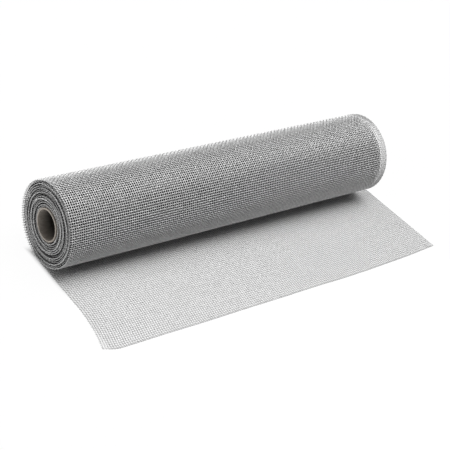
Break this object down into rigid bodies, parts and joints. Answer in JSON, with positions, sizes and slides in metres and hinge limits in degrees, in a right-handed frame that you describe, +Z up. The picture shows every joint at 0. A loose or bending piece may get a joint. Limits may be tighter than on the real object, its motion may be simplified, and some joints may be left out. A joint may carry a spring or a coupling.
{
  "type": "window screen mesh roll",
  "caption": "Roll of open woven insect screen wound on a cardboard core, lying on its side with its free end rolled out flat.",
  "frame": {"origin": "middle of the core's bore, on the roll's axis", "axes": "+X along the roll's axis, -Y the way the free end is rolled out, +Z up"},
  "size_m": [0.3217, 0.1288, 0.0642],
  "materials": {
    "cardboard": "matt",
    "screen": "satin, coated yarn"
  },
  "bodies": {
    "root": {"core_tube": "cardboard", "screen_mesh": "screen"}
  },
  "joints": []
}
